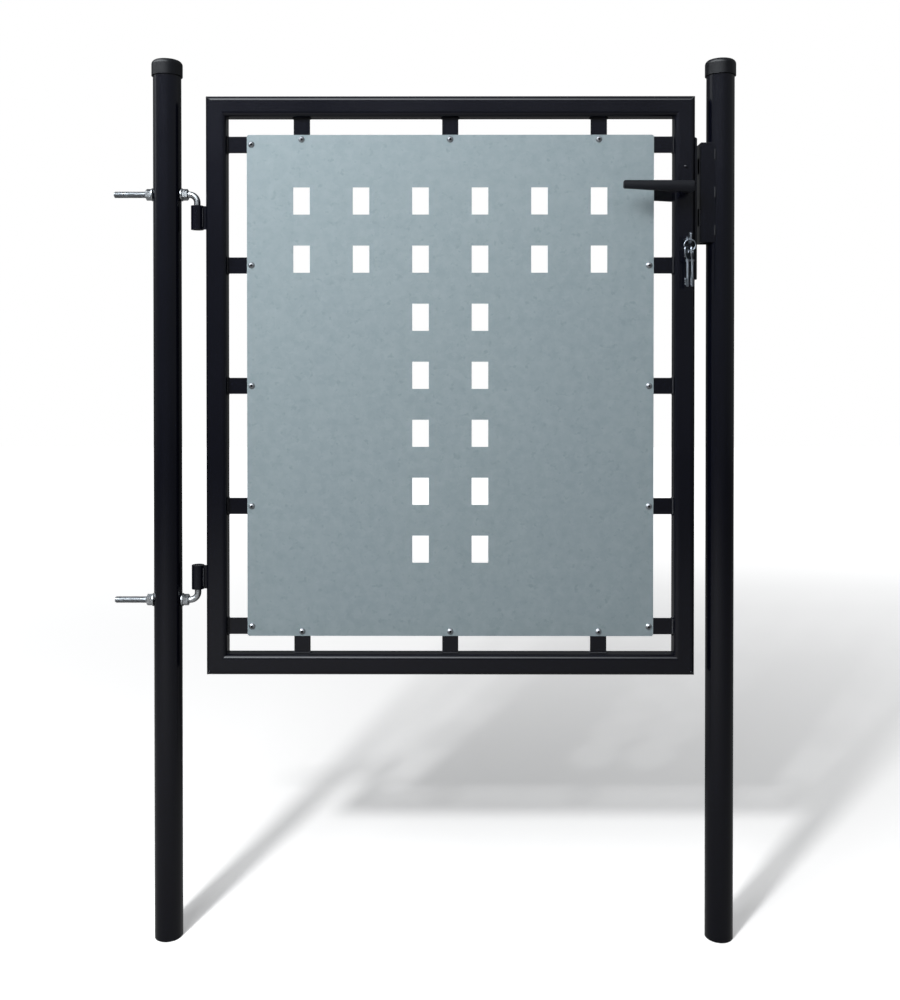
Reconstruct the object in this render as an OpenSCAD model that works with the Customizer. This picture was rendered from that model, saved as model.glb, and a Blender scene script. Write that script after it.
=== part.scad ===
// Single-leaf garden gate: two round posts, a square-tube leaf with a pierced sheet panel,
// two bent hinge bolts, and a mortice lock with lever handles, strike and keys.
// The origin is the centre of the hinge post's foot, +X runs to the latch post, +Z is up
// and the face with the panel looks towards -Y.

/* [Posts] */
// Outer diameter of both round posts
post_d = 60; // [55:1:70]
// Wall of the post tube
post_wall = 2; // [1.5:0.5:4]
// How far the post tubes rise above the leaf's upper edge
post_rise = 74; // [50:1:300]
// How far the plastic cap stands proud of the post
cap_proud = 3; // [2:0.5:5]
// How far the cap's skirt reaches down the post
cap_skirt = 28; // [20:1:60]
// Thickness of the cap's top
cap_top = 6; // [3:0.5:8]
// Rounding of the cap's upper edge
cap_round = 10; // [4:0.5:11]

/* [Leaf frame] */
// Width of the leaf over its tubes
leaf_w = 1055; // [960:5:1500]
// Height of the leaf over its tubes
leaf_h = 1250; // [1000:5:1600]
// Height of the leaf's lower edge above the post feet
leaf_lift = 575; // [40:5:800]
// Side of the square frame tube
tube = 44; // [36:1:46]
// Wall of the square frame tube
tube_wall = 2; // [1.5:0.5:2.5]
// Outer corner radius of the square frame tube
tube_r = 10; // [3:0.5:12]
// Gap between the hinge post and the leaf
hinge_gap = 57; // [56:1:64]
// Gap between the leaf and the latch post
latch_gap = 28; // [26:1:36]

/* [Hinges] */
// How far the upper hinge bolt lies below the leaf's upper edge
hinge_drop = 210; // [150:5:260]
// How far the lower hinge bolt lies above the leaf's lower edge
hinge_rise = 159; // [120:1:260]
// Distance of the swing axis from the hinge post's surface
swing_gap = 35; // [34:1:37]
// Diameter of the threaded hinge bolts
bolt_d = 14; // [12:1:15]
// Radius of the bolts' bend on their centre line
bolt_bend = 17; // [15:1:17]
// How far the bolts stick out behind the hinge post
bolt_tail = 86; // [50:1:120]
// Distance from a bolt's axis to the near end of its barrel
barrel_gap = 24; // [20:1:30]
// Outer diameter of the hinge barrels
barrel_d = 27; // [24:1:29]
// Length of the hinge barrels
barrel_len = 52; // [40:1:70]
// Thickness of the lug that joins a barrel to the stile
lug_t = 8; // [6:1:12]
// Width of the hinge nuts across their flats
nut_af = 22; // [20:1:24]
// Height of the hinge nuts
nut_h = 12; // [9:1:12]
// Outer diameter of the hinge washers
washer_d = 28; // [26:1:32]
// Thickness of the hinge washers
washer_t = 3; // [2:0.5:3]

/* [Panel] */
// Thickness of the galvanised sheet
sheet_t = 1.5; // [1:0.5:3]
// Gap between the sheet and the two stiles
sheet_gap_x = 42.5; // [30:0.5:60]
// Gap between the sheet and the two rails
sheet_gap_z = 37; // [30:0.5:60]
// Corner radius of the sheet
sheet_r = 5; // [2:1:12]
// Width of each cut-out
cut_w = 36; // [20:1:80]
// Height of each cut-out
cut_h = 59; // [30:1:90]
// Distance between the centres of neighbouring columns
cut_pitch_x = 129; // [100:1:140]
// Distance between the centres of neighbouring rows
cut_pitch_z = 126; // [100:1:130]
// Distance from the sheet's upper edge to the first row's centre
cut_drop = 143; // [120:1:200]
// Columns in the cross bar of the cut-out field
bar_columns = 6; // [4:2:6]
// Rows in the cross bar of the cut-out field
bar_rows = 2; // [1:1:3]
// Least height of plain sheet left below the stem of the cut-out field
cut_margin = 100; // [60:5:150]

/* [Tabs and screws] */
// Width of the flat-bar tabs
tab_w = 35; // [25:1:40]
// Thickness of the flat-bar tabs
tab_t = 5; // [3:0.5:8]
// How far each tab reaches behind the sheet
tab_lap = 22; // [18:1:30]
// Distance from the sheet's corner to the middle of the first tab on a stile
side_tab_end = 21; // [18:1:60]
// Distance from the sheet's corner to the middle of the first tab on a rail
rail_tab_end = 119; // [60:1:200]
// Distance of each screw from the sheet's edge
screw_inset = 10; // [9:0.5:12]
// Thread diameter of the panel screws
screw_d = 8; // [6:1:8]
// Diameter of the panel screws' domed heads
screw_head_d = 14; // [13:0.5:16]
// Height of the panel screws' domed heads
screw_head_h = 4.4; // [3:0.1:5]
// Size of the hexagon socket in each screw
socket_af = 5; // [3:0.5:6]

/* [Lock and strike] */
// How far the handle's axis lies below the leaf's upper edge
handle_drop = 203; // [190:1:260]
// Distance from the handle's axis down to the keyhole
key_drop = 108; // [85:1:112]
// Thickness of the lock's face strip
strip_t = 5; // [3:0.5:6]
// Width of the lock's face strip
strip_w = 24; // [22:1:30]
// Length of the lock's face strip
strip_len = 306; // [300:1:330]
// Gap between the lock's face strip and the strike
strike_gap = 5.5; // [5.5:0.5:8]
// Height of the strike channel
strike_h = 214; // [200:1:240]
// Outer depth of the strike channel
strike_depth = 50; // [44:1:54]
// Thickness of the strike channel
strike_t = 3; // [2:0.5:4]
// Width of the escutcheon plates
plate_w = 28; // [26:1:36]
// Thickness of the escutcheon plates
plate_t = 3; // [2:0.5:5]

/* [Handles and keys] */
// Length of each lever from its axis to its tip
lever_len = 141; // [110:1:150]
// Height of the lever at its root
lever_root = 25; // [22:1:28]
// Height of the lever at its tip
lever_tip = 17; // [12:1:20]
// Thickness of the lever's arm
lever_t = 12; // [8:1:16]
// Distance from the escutcheon to the lever's outer face
lever_reach = 52; // [45:1:60]
// Diameter of the lever's neck
neck_d = 18; // [16:1:20]
// Side of the square spindle
spindle_w = 8; // [7:0.5:9]
// Length of a key from the top of its bow to its end
key_len = 84; // [80:1:90]
// Width of a key's bow
bow_w = 24; // [22:1:26]
// Outer diameter of the key ring
ring_d = 26; // [24:1:30]

/* [Hidden] */

// Clearances
seat = 0.2;              // between a round face and what seats on it
fit = 0.3;               // round a pin, a neck or a capped post
hole_play = 0.5;         // round a bolt in a drilled hole
small = 0.1;             // by which a cutter passes a face

// Post caps
rim_wall = 1;            // over the post's rim, where the cap's edge is rounded
cap_edge = min(cap_round, cap_proud + cap_top + rim_wall);

// Main places
leaf_x0 = post_d / 2 + hinge_gap;
leaf_x1 = leaf_x0 + leaf_w;
post_spacing = leaf_x1 + latch_gap + post_d / 2;
leaf_z0 = leaf_lift;
leaf_z1 = leaf_z0 + leaf_h;
post_len = leaf_z1 + post_rise;
leaf_mid_x = (leaf_x0 + leaf_x1) / 2;
leaf_mid_z = (leaf_z0 + leaf_z1) / 2;
swing_x = post_d / 2 + swing_gap;
upper_bolt_z = leaf_z1 - hinge_drop;
lower_bolt_z = leaf_z0 + hinge_rise;
pin_short = 1;           // by which a bolt's pin ends short of its barrel's far end
lug_inset = 1;           // from a barrel's end to its lug
bolt_point = 2;          // chamfer at a bolt's ends
nut_slope = 30;          // angle of a nut's chamfer

// Sheet
sheet_x0 = leaf_x0 + tube + sheet_gap_x;
sheet_x1 = leaf_x1 - tube - sheet_gap_x;
sheet_z0 = leaf_z0 + tube + sheet_gap_z;
sheet_z1 = leaf_z1 - tube - sheet_gap_z;
sheet_back = -tab_t / 2;
sheet_front = sheet_back - sheet_t;
side_tab_z = [for (i = [0:4])
    sheet_z0 + side_tab_end + i / 4 * (sheet_z1 - sheet_z0 - 2 * side_tab_end)];
rail_tab_x = [for (i = [0:2])
    sheet_x0 + rail_tab_end + i / 2 * (sheet_x1 - sheet_x0 - 2 * rail_tab_end)];
panel_nut_h = 6.5;
panel_nut_af = 13;
screw_tip = 2;           // of the screw beyond its nut
socket_depth = 2.6;      // of the screw's hexagon socket

// Lock
handle_x = leaf_x1 - tube / 2;
handle_z = leaf_z1 - handle_drop;
key_z = handle_z - key_drop;
latch_rise = 54;         // from the handle's axis up to the latch
latch_z = handle_z + latch_rise;
latch_size = [12, 28];
latch_bevel = 9;         // length of the latch's bevel
latch_nose = 2;          // width of the latch's blunt tip
dead_bolt_drop = 57;     // from the handle's axis down to the dead bolt
dead_bolt_z = handle_z - dead_bolt_drop;
dead_bolt_size = [10, 32];
bolt_play = 0.5;         // round the latch and the dead bolt in their mouths
case_wall = 2;
case_t = 20;
case_x0 = leaf_x1 - tube + tube_wall + 1;
case_below = 45;         // the keyhole
case_above = 18;         // the latch
case_z0 = key_z - case_below;
case_z1 = latch_z + case_above;
follower_d = 12;
strip_shift = 38.5;      // from the handle's axis down to the strip's middle
strip_mid_z = handle_z - strip_shift;
strip_screw_inset = 14;  // from the strip's ends to its screw holes
strip_screw_d = 5;
strip_sink_d = 9.5;      // of the countersinks round those holes
strip_round = 4;         // radius of the strip's upper corner
strike_x0 = leaf_x1 + strip_t + strike_gap;
strike_x1 = post_spacing - sqrt(pow(post_d / 2, 2) - pow(strike_depth / 2, 2));
strike_shift = 6;        // from the handle's axis down to the strike's middle
strike_z0 = handle_z - strike_shift - strike_h / 2;
mouth_play = [2, 3];     // round a bolt in its strike's mouth, across and upright
plate_below = 48;        // the keyhole
plate_above = 60;        // the handle's axis
plate_z0 = key_z - plate_below;
plate_z1 = handle_z + plate_above;
plate_r = 8;
plate_face = tube / 2 + plate_t;
spindle_play = 0.2;
spindle_reach = 24;      // of the square bore into each lever's neck
lever_round = 4;         // radius at the lever's tip
hub_round = 10;          // radius of the bend from a lever's neck to its arm
crown_r = 26;            // radius of the domed outer face of a lever's arm

// Keys
key_shank_d = 5.5;
key_thick = 2.5;
bit_len = 14;
bit_reach = 8;
bit_end = 3;             // from the bit to the key's end
ward_w = 2;              // of the two cuts in the bit
bow_h = 28;              // of the bow with its neck
bow_head_h = 20;         // of the bow's round-cornered head
bow_r = 6;
bow_hole_d = 9;
bow_rim = 5;             // from the bow's hole to its top
bow_top = bow_hole_d / 2 + bow_rim;
collar_d = 8.5;
collar_len = 4;
keyhole_d = key_shank_d + 2 * fit;
keyhole_slot = [key_thick + 2 * bolt_play, key_shank_d / 2 + bit_reach + bolt_play];
wire_d = 2;
ring_r = (ring_d - wire_d) / 2;
key_y = case_t / 2 + bow_top - key_len;
ring_z = key_z - bow_hole_d / 2 + wire_d / 2 + fit - ring_r;
key_slack = 1.65;        // further that a spare key hangs, as the wire slants through its bow
key_spread = 24;         // angle of each spare key from the ring's lowest point

black = [0.09, 0.1, 0.12];
plastic = [0.06, 0.06, 0.07];
zinc = [0.72, 0.74, 0.76];
sheet_grey = [0.62, 0.68, 0.7];

// ---------- profiles ----------

// A rectangle with round corners, centred on the origin
module round_rect(w, h, r) {
    square([w - 2 * r, h], center = true);
    square([w, h - 2 * r], center = true);
    for (sx = [-1, 1], sz = [-1, 1])
        translate([sx * (w / 2 - r), sz * (h / 2 - r)])
            circle(r, $fn = 32);
}

// Cross-section of the frame tube
module tube_section() {
    difference() {
        round_rect(tube, tube, tube_r);
        round_rect(tube - 2 * tube_wall, tube - 2 * tube_wall, tube_r - tube_wall);
    }
}

// Hexagon nut along Z, centred on the origin, its corners chamfered at both ends
module hex_nut(af, height, bore_d) {
    corner_r = af / 2 / cos(30);
    face_r = af / 2 - small;
    rise = (corner_r + 1 - face_r) * tan(nut_slope);
    difference() {
        intersection() {
            cylinder(h = height, r = corner_r, center = true, $fn = 6);
            rotate_extrude($fn = 48)
                polygon([[0, -height / 2], [face_r, -height / 2], [corner_r + 1, rise - height / 2],
                    [corner_r + 1, height / 2 - rise], [face_r, height / 2], [0, height / 2]]);
        }
        cylinder(h = 2 * height, d = bore_d, center = true, $fn = 48);
    }
}

// Round bar from z = 0 up, its upper end chamfered
module pointed_bar(length, d, point) {
    cylinder(h = length - point, d = d, $fn = 48);
    translate([0, 0, length - point])
        cylinder(h = point, d1 = d, d2 = d - 2 * point, $fn = 48);
}

// Stands a flat XZ outline up as a plate from y = 0 to y = thickness
module upright(thickness) {
    translate([0, thickness, 0])
        rotate([90, 0, 0])
            linear_extrude(thickness)
                children();
}

// ---------- posts ----------

module post_tube() {
    difference() {
        cylinder(h = post_len, d = post_d, $fn = 96);
        translate([0, 0, -small])
            cylinder(h = post_len + 2 * small, d = post_d - 2 * post_wall, $fn = 96);
    }
}

module hinge_post() {
    color(black)
        difference() {
            post_tube();
            for (z = [lower_bolt_z, upper_bolt_z])
                translate([-post_d, 0, z])
                    rotate([0, 90, 0])
                        cylinder(h = 2 * post_d, d = bolt_d + 2 * hole_play, $fn = 48);
        }
}

module latch_post() {
    color(black)
        translate([post_spacing, 0, 0])
            post_tube();
}

// Plastic cap: a skirt over the post, and a top with a rounded edge that rests on its end
module post_cap() {
    outer_r = post_d / 2 + cap_proud;
    z_top = post_len + cap_top;
    color(plastic)
        rotate_extrude($fn = 96)
            difference() {
                union() {
                    translate([0, post_len - cap_skirt])
                        square([outer_r - cap_edge, cap_skirt + cap_top]);
                    translate([0, post_len - cap_skirt])
                        square([outer_r, cap_skirt + cap_top - cap_edge]);
                    translate([outer_r - cap_edge, z_top - cap_edge])
                        circle(cap_edge, $fn = 48);
                }
                translate([-outer_r, post_len - cap_skirt - small])
                    square([outer_r + post_d / 2 + fit, cap_skirt + small]);
            }
}

module hinge_post_cap() {
    post_cap();
}

module latch_post_cap() {
    translate([post_spacing, 0, 0])
        post_cap();
}

// ---------- hinges ----------

// Bent bolt: a straight shank through the post, a quarter bend, and a pin that points to -Z
module bent_bolt() {
    pin_len = barrel_gap - bolt_bend + barrel_len - pin_short;
    color(zinc) {
        translate([swing_x - bolt_bend, 0, 0])
            rotate([0, -90, 0])
                pointed_bar(post_d / 2 + bolt_tail + swing_x - bolt_bend, bolt_d, bolt_point);
        translate([swing_x - bolt_bend, 0, -bolt_bend])
            rotate([90, 0, 0])
                rotate_extrude(angle = 90, $fn = 96)
                    translate([bolt_bend, 0])
                        circle(d = bolt_d, $fn = 48);
        translate([swing_x, 0, -bolt_bend])
            rotate([180, 0, 0])
                pointed_bar(pin_len, bolt_d, bolt_point);
    }
}

module upper_hinge_bolt() {
    translate([0, 0, upper_bolt_z])
        bent_bolt();
}

module lower_hinge_bolt() {
    translate([0, 0, lower_bolt_z])
        mirror([0, 0, 1])
            bent_bolt();
}

// Flat washer against the post; side is -1 outside and 1 towards the leaf
module hinge_washer(side, z) {
    color(zinc)
        translate([side * (post_d / 2 + seat + washer_t / 2), 0, z])
            rotate([0, 90, 0])
                difference() {
                    cylinder(h = washer_t, d = washer_d, center = true, $fn = 64);
                    cylinder(h = 2 * washer_t, d = bolt_d + 2 * fit, center = true, $fn = 48);
                }
}

module hinge_nut(side, z) {
    color(zinc)
        translate([side * (post_d / 2 + seat + washer_t + nut_h / 2), 0, z])
            rotate([0, 90, 0])
                hex_nut(nut_af, nut_h, bolt_d + 2 * seat);
}

// Barrel on the bolt's pin, joined to the stile by a lug; dir is -1 below its bolt, 1 above
module hinge_barrel(bolt_z, dir) {
    mid_z = bolt_z + dir * (barrel_gap + barrel_len / 2);
    lug_h = barrel_len - 2 * lug_inset;
    color(black)
        difference() {
            union() {
                translate([swing_x, 0, mid_z])
                    cylinder(h = barrel_len, d = barrel_d, center = true, $fn = 64);
                translate([swing_x, -lug_t / 2, mid_z - lug_h / 2])
                    cube([leaf_x0 - swing_x, lug_t, lug_h]);
            }
            translate([swing_x, 0, mid_z])
                cylinder(h = 2 * barrel_len, d = bolt_d + 2 * fit, center = true, $fn = 48);
        }
}

module upper_hinge_barrel() {
    hinge_barrel(upper_bolt_z, -1);
}

module lower_hinge_barrel() {
    hinge_barrel(lower_bolt_z, 1);
}

// ---------- leaf frame, mitred at its corners ----------

module stile_tube(x_mid) {
    translate([x_mid, 0, leaf_z0])
        linear_extrude(leaf_h)
            tube_section();
}

module rail_tube(z_mid) {
    translate([leaf_x0, 0, z_mid])
        rotate([0, 90, 0])
            linear_extrude(leaf_w)
                tube_section();
}

// The block that a mitred tube keeps: its outer face from corner to corner, its inner face shorter
module mitre_block(outline) {
    translate([0, -tube, 0])
        upright(2 * tube)
            polygon(outline);
}

module hinge_stile() {
    color(black)
        intersection() {
            stile_tube(leaf_x0 + tube / 2);
            mitre_block([[leaf_x0, leaf_z0], [leaf_x0 + tube, leaf_z0 + tube],
                [leaf_x0 + tube, leaf_z1 - tube], [leaf_x0, leaf_z1]]);
        }
}

module lock_stile() {
    color(black)
        difference() {
            intersection() {
                stile_tube(leaf_x1 - tube / 2);
                mitre_block([[leaf_x1, leaf_z0], [leaf_x1, leaf_z1],
                    [leaf_x1 - tube, leaf_z1 - tube], [leaf_x1 - tube, leaf_z0 + tube]]);
            }
            // mouth for the lock case
            translate([leaf_x1 - tube_wall - small, -case_t / 2 - fit, case_z0 - fit])
                cube([tube_wall + 2 * small, case_t + 2 * fit, case_z1 - case_z0 + 2 * fit]);
            // way through for the lever necks
            translate([handle_x, 0, handle_z])
                rotate([90, 0, 0])
                    cylinder(h = 2 * tube, d = neck_d + 2 * hole_play, center = true, $fn = 48);
            translate([handle_x, tube, key_z])
                rotate([90, 0, 0])
                    keyhole_cutter(2 * tube, 2);
        }
}

module top_rail() {
    color(black)
        intersection() {
            rail_tube(leaf_z1 - tube / 2);
            mitre_block([[leaf_x0, leaf_z1], [leaf_x0 + tube, leaf_z1 - tube],
                [leaf_x1 - tube, leaf_z1 - tube], [leaf_x1, leaf_z1]]);
        }
}

module bottom_rail() {
    color(black)
        intersection() {
            rail_tube(leaf_z0 + tube / 2);
            mitre_block([[leaf_x0, leaf_z0], [leaf_x1, leaf_z0],
                [leaf_x1 - tube, leaf_z0 + tube], [leaf_x0 + tube, leaf_z0 + tube]]);
        }
}

// ---------- tabs, sheet and screws ----------

// Places of the screws; the uppermost one on the lock side is missing
function screw_places() = concat(
    [for (z = side_tab_z) [sheet_x0 + screw_inset, z]],
    [for (i = [0:3]) [sheet_x1 - screw_inset, side_tab_z[i]]],
    [for (x = rail_tab_x) [x, sheet_z1 - screw_inset]],
    [for (x = rail_tab_x) [x, sheet_z0 + screw_inset]]);

module screw_bores(depth) {
    for (p = screw_places())
        translate([p[0], 0, p[1]])
            rotate([90, 0, 0])
                cylinder(h = depth, d = screw_d + 2 * fit, center = true, $fn = 32);
}

module side_tabs(x_from, x_to) {
    color(black)
        difference() {
            for (z = side_tab_z)
                translate([x_from, -tab_t / 2, z - tab_w / 2])
                    cube([x_to - x_from, tab_t, tab_w]);
            screw_bores(4 * tab_t);
        }
}

module rail_tabs(z_from, z_to) {
    color(black)
        difference() {
            for (x = rail_tab_x)
                translate([x - tab_w / 2, -tab_t / 2, z_from])
                    cube([tab_w, tab_t, z_to - z_from]);
            screw_bores(4 * tab_t);
        }
}

module hinge_side_tabs() {
    side_tabs(leaf_x0 + tube, sheet_x0 + tab_lap);
}

module lock_side_tabs() {
    side_tabs(sheet_x1 - tab_lap, leaf_x1 - tube);
}

module top_tabs() {
    rail_tabs(sheet_z1 - tab_lap, leaf_z1 - tube);
}

module bottom_tabs() {
    rail_tabs(leaf_z0 + tube, sheet_z0 + tab_lap);
}

// Centres of the cut-outs: a cross bar of full rows over a stem of two columns, which has
// as many rows as the sheet's height leaves room for
function cut_centres() =
    let (first_z = sheet_z1 - cut_drop,
        room = first_z - cut_h / 2 - cut_margin - sheet_z0,
        stem_rows = floor(room / cut_pitch_z) + 1 - bar_rows)
    concat(
        [for (r = [0:bar_rows - 1], c = [0:bar_columns - 1])
            [leaf_mid_x + (c - (bar_columns - 1) / 2) * cut_pitch_x, first_z - r * cut_pitch_z]],
        [for (r = [0:stem_rows - 1], side = [-0.5, 0.5])
            [leaf_mid_x + side * cut_pitch_x, first_z - (bar_rows + r) * cut_pitch_z]]);

module panel() {
    color(sheet_grey)
        difference() {
            translate([0, sheet_front, 0])
                upright(sheet_t)
                    difference() {
                        translate([leaf_mid_x, leaf_mid_z])
                            round_rect(sheet_x1 - sheet_x0, sheet_z1 - sheet_z0, sheet_r);
                        for (p = cut_centres())
                            translate(p)
                                square([cut_w, cut_h], center = true);
                    }
            screw_bores(4 * tab_t);
        }
}

// Domed socket-head screw, its axis along Y and the underside of its head at y = 0
module panel_screw() {
    dome_r = (pow(screw_head_d / 2, 2) + pow(screw_head_h, 2)) / (2 * screw_head_h);
    shank_len = sheet_t + tab_t + panel_nut_h + screw_tip;
    rotate([90, 0, 0]) {
        difference() {
            intersection() {
                translate([0, 0, screw_head_h - dome_r])
                    sphere(dome_r, $fn = 48);
                cylinder(h = screw_head_h, d = screw_head_d, $fn = 48);
            }
            translate([0, 0, screw_head_h - socket_depth])
                cylinder(h = screw_head_h, d = socket_af / cos(30), $fn = 6);
        }
        rotate([180, 0, 0])
            pointed_bar(shank_len, screw_d, screw_tip / 2);
    }
}

module panel_screws() {
    color(zinc)
        for (p = screw_places())
            translate([p[0], sheet_front, p[1]])
                panel_screw();
}

module panel_nuts() {
    color(zinc)
        for (p = screw_places())
            translate([p[0], tab_t / 2 + panel_nut_h / 2, p[1]])
                rotate([90, 0, 0])
                    hex_nut(panel_nut_af, panel_nut_h, screw_d + 2 * seat);
}

// ---------- lock ----------

// Keyhole outline swept along +Z: a round hole over a narrow slot
module keyhole_cutter(depth, play) {
    cylinder(h = depth, d = keyhole_d + play, $fn = 32);
    translate([-(keyhole_slot[0] + play) / 2, -keyhole_slot[1] - play / 2, 0])
        cube([keyhole_slot[0] + play, keyhole_slot[1] + play / 2, depth]);
}

// Hollow case inside the stile, open at the front for the two bolts
module lock_case() {
    case_x_len = leaf_x1 - case_x0;
    color(zinc)
        difference() {
            translate([case_x0, -case_t / 2, case_z0])
                cube([case_x_len, case_t, case_z1 - case_z0]);
            translate([case_x0 + case_wall, -case_t / 2 + case_wall, case_z0 + case_wall])
                cube([case_x_len, case_t - 2 * case_wall, case_z1 - case_z0 - 2 * case_wall]);
            translate([handle_x, 0, handle_z])
                rotate([90, 0, 0])
                    cylinder(h = 2 * case_t, d = follower_d, center = true, $fn = 48);
            translate([handle_x, case_t, key_z])
                rotate([90, 0, 0])
                    keyhole_cutter(2 * case_t, 0);
        }
}

module bolt_slot(size, z, depth) {
    translate([leaf_x1 - depth / 2, -size[0] / 2 - bolt_play, z - size[1] / 2 - bolt_play])
        cube([depth, size[0] + 2 * bolt_play, size[1] + 2 * bolt_play]);
}

// Face strip on the stile's edge, with the mouths of the latch and the dead bolt
module lock_strip() {
    z0 = strip_mid_z - strip_len / 2;
    color(black)
        difference() {
            translate([0, -strip_w / 2, 0])
                upright(strip_w)
                    difference() {
                        translate([leaf_x1, z0])
                            square([strip_t, strip_len]);
                        translate([leaf_x1 + strip_t - strip_round, z0 + strip_len - strip_round])
                            difference() {
                                square(2 * strip_round);
                                circle(strip_round, $fn = 32);
                            }
                    }
            bolt_slot(latch_size, latch_z, 4 * strip_t);
            bolt_slot(dead_bolt_size, dead_bolt_z, 4 * strip_t);
            for (side = [-1, 1])
                translate([leaf_x1, 0, strip_mid_z + side * (strip_len / 2 - strip_screw_inset)])
                    strip_screw_hole();
        }
}

// Countersunk hole along +X through the strip, for the screw that holds it to the stile
module strip_screw_hole() {
    sink = (strip_sink_d - strip_screw_d) / 2;
    rotate([0, 90, 0]) {
        translate([0, 0, -small])
            cylinder(h = strip_t, d = strip_screw_d, $fn = 32);
        translate([0, 0, strip_t - sink])
            cylinder(h = sink + small, d1 = strip_screw_d, d2 = strip_sink_d + 2 * small, $fn = 32);
    }
}

// Spring latch drawn back into the lock, its bevel on the closing side
module latch_bolt() {
    x0 = case_x0 + case_wall;
    x1 = leaf_x1 + strip_t;
    half = latch_size[0] / 2;
    color(zinc)
        translate([0, 0, latch_z - latch_size[1] / 2])
            linear_extrude(latch_size[1])
                polygon([[x0, -half], [x1, -half], [x1, latch_nose - half],
                    [x1 - latch_bevel, half], [x0, half]]);
}

module dead_bolt() {
    color(zinc)
        translate([case_x0 + case_wall, -dead_bolt_size[0] / 2, dead_bolt_z - dead_bolt_size[1] / 2])
            cube([leaf_x1 + strip_t - case_x0 - case_wall, dead_bolt_size[0], dead_bolt_size[1]]);
}

// Escutcheon plate from y = 0 to y = plate_t, with the neck's bore and the keyhole
module escutcheon() {
    color(black)
        difference() {
            upright(plate_t)
                translate([handle_x, (plate_z0 + plate_z1) / 2])
                    round_rect(plate_w, plate_z1 - plate_z0, plate_r);
            translate([handle_x, 0, handle_z])
                rotate([90, 0, 0])
                    cylinder(h = 4 * plate_t, d = neck_d + 2 * fit, center = true, $fn = 64);
            translate([handle_x, 2 * plate_t, key_z])
                rotate([90, 0, 0])
                    keyhole_cutter(4 * plate_t, 1);
        }
}

module front_escutcheon() {
    translate([0, -plate_face, 0])
        escutcheon();
}

module rear_escutcheon() {
    translate([0, tube / 2, 0])
        escutcheon();
}

// Channel on the latch post that the bolts shoot into, its flanges coped to the round post
module strike() {
    color(black)
        difference() {
            translate([strike_x0, -strike_depth / 2, strike_z0])
                cube([strike_x1 - strike_x0, strike_depth, strike_h]);
            translate([strike_x0 + strike_t, strike_t - strike_depth / 2, strike_z0 - small])
                cube([strike_x1 - strike_x0, strike_depth - 2 * strike_t, strike_h + 2 * small]);
            translate([post_spacing, 0, strike_z0 - small])
                cylinder(h = strike_h + 2 * small, r = post_d / 2 + seat, $fn = 96);
            strike_mouth(latch_size, latch_z);
            strike_mouth(dead_bolt_size, dead_bolt_z);
        }
}

// Mouth in the strike's web, wider and taller than the bolt that shoots into it
module strike_mouth(size, z) {
    mouth_w = size[0] + 2 * mouth_play[0];
    mouth_h = size[1] + 2 * mouth_play[1];
    translate([strike_x0 - small, -mouth_w / 2, z - mouth_h / 2])
        cube([strike_t + 2 * small, mouth_w, mouth_h]);
}

// ---------- handles ----------

// Side outline of a lever's arm, which points to -X from its axis: level above, rising below
module lever_side() {
    root_r = lever_root / 2;
    tip_z = root_r - lever_tip;
    end_x = lever_round - lever_len;
    circle(root_r, $fn = 64);
    polygon([[0, root_r], [end_x, root_r], [end_x - lever_round, root_r - lever_round],
        [end_x - lever_round, tip_z + lever_round], [end_x, tip_z], [0, -root_r]]);
    for (z = [root_r - lever_round, tip_z + lever_round])
        translate([end_x, z])
            circle(lever_round, $fn = 32);
}

// The same arm seen from above, its outer face on the X axis and its bend at the right
module lever_plan() {
    root_r = lever_root / 2;
    translate([-lever_len, 0])
        square([lever_len + root_r - hub_round, lever_t]);
    translate([-lever_len, hub_round])
        square([lever_len + root_r, lever_t]);
    translate([root_r - hub_round, hub_round])
        circle(hub_round, $fn = 64);
}

// Lever on the -Y side: neck in the escutcheon's bore, and an arm with a domed outer face
module lever() {
    neck_len = lever_reach + plate_t + tube_wall - lever_t / 2;
    bore_w = spindle_w + 2 * spindle_play;
    color(black)
        translate([handle_x, -plate_face, handle_z])
            difference() {
                union() {
                    translate([0, plate_t + tube_wall, 0])
                        rotate([90, 0, 0])
                            cylinder(h = neck_len, d = neck_d, $fn = 64);
                    translate([0, -lever_reach, 0])
                        intersection() {
                            upright(lever_t)
                                lever_side();
                            translate([0, 0, -lever_root])
                                linear_extrude(2 * lever_root)
                                    lever_plan();
                            translate([0, crown_r, 0])
                                rotate([0, 90, 0])
                                    cylinder(h = 3 * lever_len, r = crown_r, center = true, $fn = 128);
                        }
                }
                translate([-bore_w / 2, -spindle_reach, -bore_w / 2])
                    cube([bore_w, plate_face + spindle_reach, bore_w]);
            }
}

module front_lever() {
    lever();
}

module rear_lever() {
    mirror([0, 1, 0])
        lever();
}

// Square bar that joins the two levers
module spindle() {
    span = plate_face + spindle_reach - 1;
    color(zinc)
        translate([handle_x - spindle_w / 2, -span, handle_z - spindle_w / 2])
            cube([spindle_w, 2 * span, spindle_w]);
}

// ---------- keys ----------

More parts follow.
